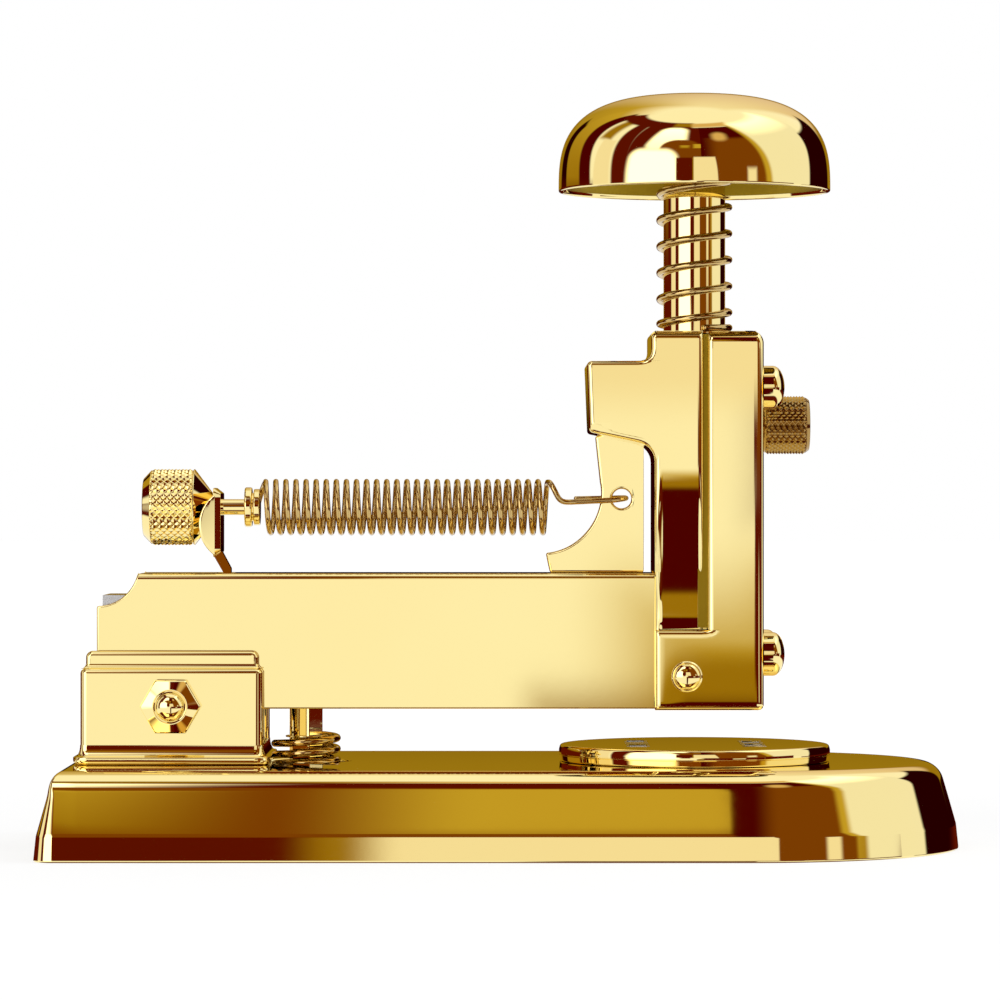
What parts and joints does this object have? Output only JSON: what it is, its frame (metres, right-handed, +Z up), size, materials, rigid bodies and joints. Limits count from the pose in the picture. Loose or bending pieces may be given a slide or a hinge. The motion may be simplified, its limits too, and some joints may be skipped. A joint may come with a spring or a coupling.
{
  "type": "desk stapler",
  "caption": "Plunger-cap desk stapler on a heavy round-ended base: sprung swinging arm, press cap and rod, knurled follower knob on a long feed spring, and a turning anvil disc.",
  "frame": {"origin": "middle of the base's outline, on the surface it stands on", "axes": "+X along the arm towards the paper end, +Y across to the far side, +Z up"},
  "size_m": [0.16, 0.0768, 0.1328],
  "materials": {
    "gold_plate": "polished gold plate",
    "gold_wire": "drawn wire, gold plated",
    "steel": "plain bright steel",
    "bronze": "turned bearing bronze",
    "rubber": "matt"
  },
  "bodies": {
    "base": {"base": "gold_plate", "sole_plate": "steel", "sole_pad": "rubber", "pivot_block": "gold_plate", "block_screws": "steel", "pivot_bolt": "gold_plate", "pivot_nut": "gold_plate", "lift_spring": "gold_wire"},
    "anvil": {"anvil_disc": "gold_plate", "clinch_plate": "steel", "tacking_plate": "steel", "anvil_stud": "steel", "anvil_spring_washer": "steel", "anvil_nut": "steel"},
    "arm": {"magazine": "gold_plate", "staple_rail": "steel", "pivot_bush": "bronze", "head_housing": "gold_plate", "guide_block": "bronze", "front_cover": "gold_plate", "blade_guide": "steel", "cover_screws": "gold_plate", "head_rivets": "gold_plate", "spring_anchor_plate": "gold_plate", "stop_post": "gold_plate", "spring_seat_washer": "gold_plate", "post_nut": "steel", "plunger_spring": "gold_wire", "feed_spring": "gold_wire"},
    "plunger": {"press_cap": "gold_plate", "cap_hub": "gold_plate", "plunger_rod": "gold_plate", "ram": "steel", "ram_pin": "steel", "driver_blade": "steel"},
    "follower": {"follower_channel": "steel", "pusher_nose": "steel", "follower_bracket": "gold_plate", "tension_rod": "gold_plate", "spring_plug": "gold_plate"},
    "rear_knob": {"rear_knob": "gold_plate"},
    "front_thumbscrew": {"front_thumbscrew": "gold_plate"}
  },
  "joints": [
    {"name": "arm_pivot", "type": "hinge", "parent": "base", "child": "arm", "pos_m": [-0.0581, 0, 0.0254], "axis": [0, 1, 0], "range_deg": [0, 3.2], "stiffness_Nm_per_rad": 3, "springref_deg": -11.46, "deforming": ["lift_spring"]},
    {"name": "plunger_slide", "type": "slide", "parent": "arm", "child": "plunger", "axis": [0, 0, -1], "range_m": [0, 0.012], "stiffness_N_per_m": 800, "springref_m": -0.015, "deforming": ["plunger_spring"]},
    {"name": "follower_slide", "type": "slide", "parent": "arm", "child": "follower", "axis": [1, 0, 0], "range_m": [-0.036, 0], "stiffness_N_per_m": 150, "springref_m": 0.02, "deforming": ["feed_spring"]},
    {"name": "rear_knob_turn", "type": "hinge", "parent": "follower", "child": "rear_knob", "pos_m": [-0.058, 0, 0.06], "axis": [1, 0, 0], "continuous": true},
    {"name": "anvil_turn", "type": "hinge", "parent": "base", "child": "anvil", "pos_m": [0.03345, 0, 0.0169], "axis": [0, 0, 1], "continuous": true},
    {"name": "thumbscrew_turn", "type": "hinge", "parent": "arm", "child": "front_thumbscrew", "pos_m": [0.049, 0, 0.0745], "axis": [1, 0, 0], "continuous": true}
  ]
}
